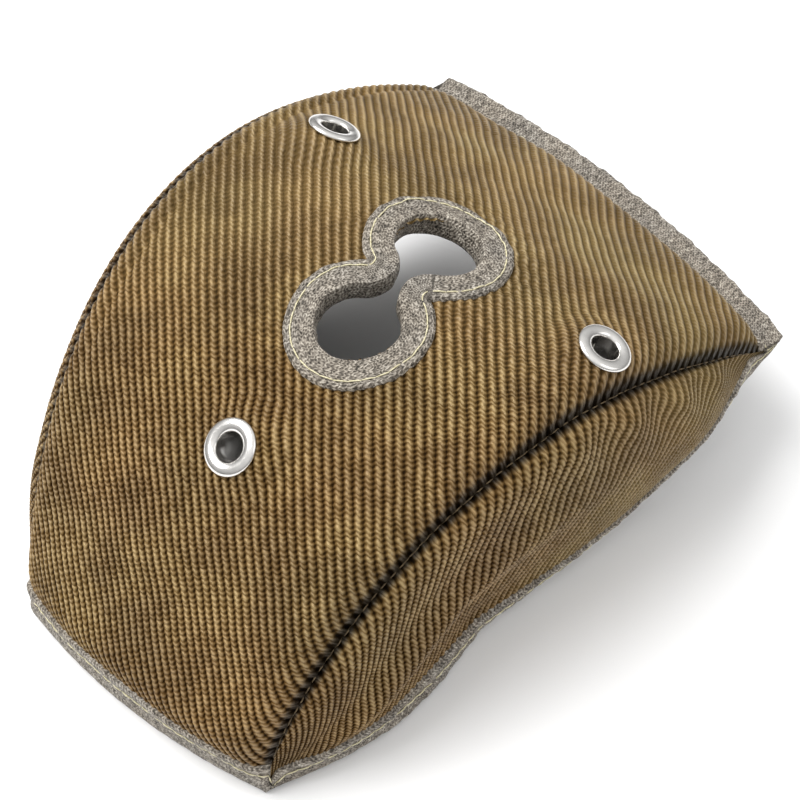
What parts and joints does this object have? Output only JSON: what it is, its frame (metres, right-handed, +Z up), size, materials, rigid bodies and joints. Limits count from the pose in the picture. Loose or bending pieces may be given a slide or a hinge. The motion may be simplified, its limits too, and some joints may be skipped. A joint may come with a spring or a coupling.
{
  "type": "turbo heat blanket",
  "caption": "Padded woven heat blanket for a turbine housing: a curved cover with two side panels, taped edges, a figure-eight hole and metal eyelets.",
  "frame": {"origin": "middle of the bounding box's underside, on the surface the blanket rests on", "axes": "+X along the front side from the low end to the raised open end; +Y from the front side to the rear side; +Z up, away from the housing"},
  "size_m": [0.2118, 0.149, 0.0896],
  "materials": {
    "woven_shell": "coarse woven basalt fibre, slightly glossy yarn",
    "fibre_mat": "soft white needled fibre mat",
    "lining": "grey heat-resistant lining cloth",
    "knitted_tape": "grey knitted wire-mesh tape",
    "thread": "cream glass-fibre sewing thread",
    "eyelet_metal": "bright pressed steel"
  },
  "bodies": {
    "root": {"outer_face_panel": "woven_shell", "outer_front_panel": "woven_shell", "outer_rear_panel": "woven_shell", "face_fibre_mat": "fibre_mat", "front_fibre_mat": "fibre_mat", "rear_fibre_mat": "fibre_mat", "face_lining": "lining", "front_lining": "lining", "rear_lining": "lining", "rim_tape": "knitted_tape", "hole_tape": "knitted_tape", "rim_thread": "thread", "hole_thread": "thread", "front_seam_thread": "thread", "rear_seam_thread": "thread", "front_eyelet": "eyelet_metal", "front_eyelet_washer": "eyelet_metal", "rear_eyelet": "eyelet_metal", "rear_eyelet_washer": "eyelet_metal", "low_end_eyelet": "eyelet_metal", "low_end_eyelet_washer": "eyelet_metal"}
  },
  "joints": []
}
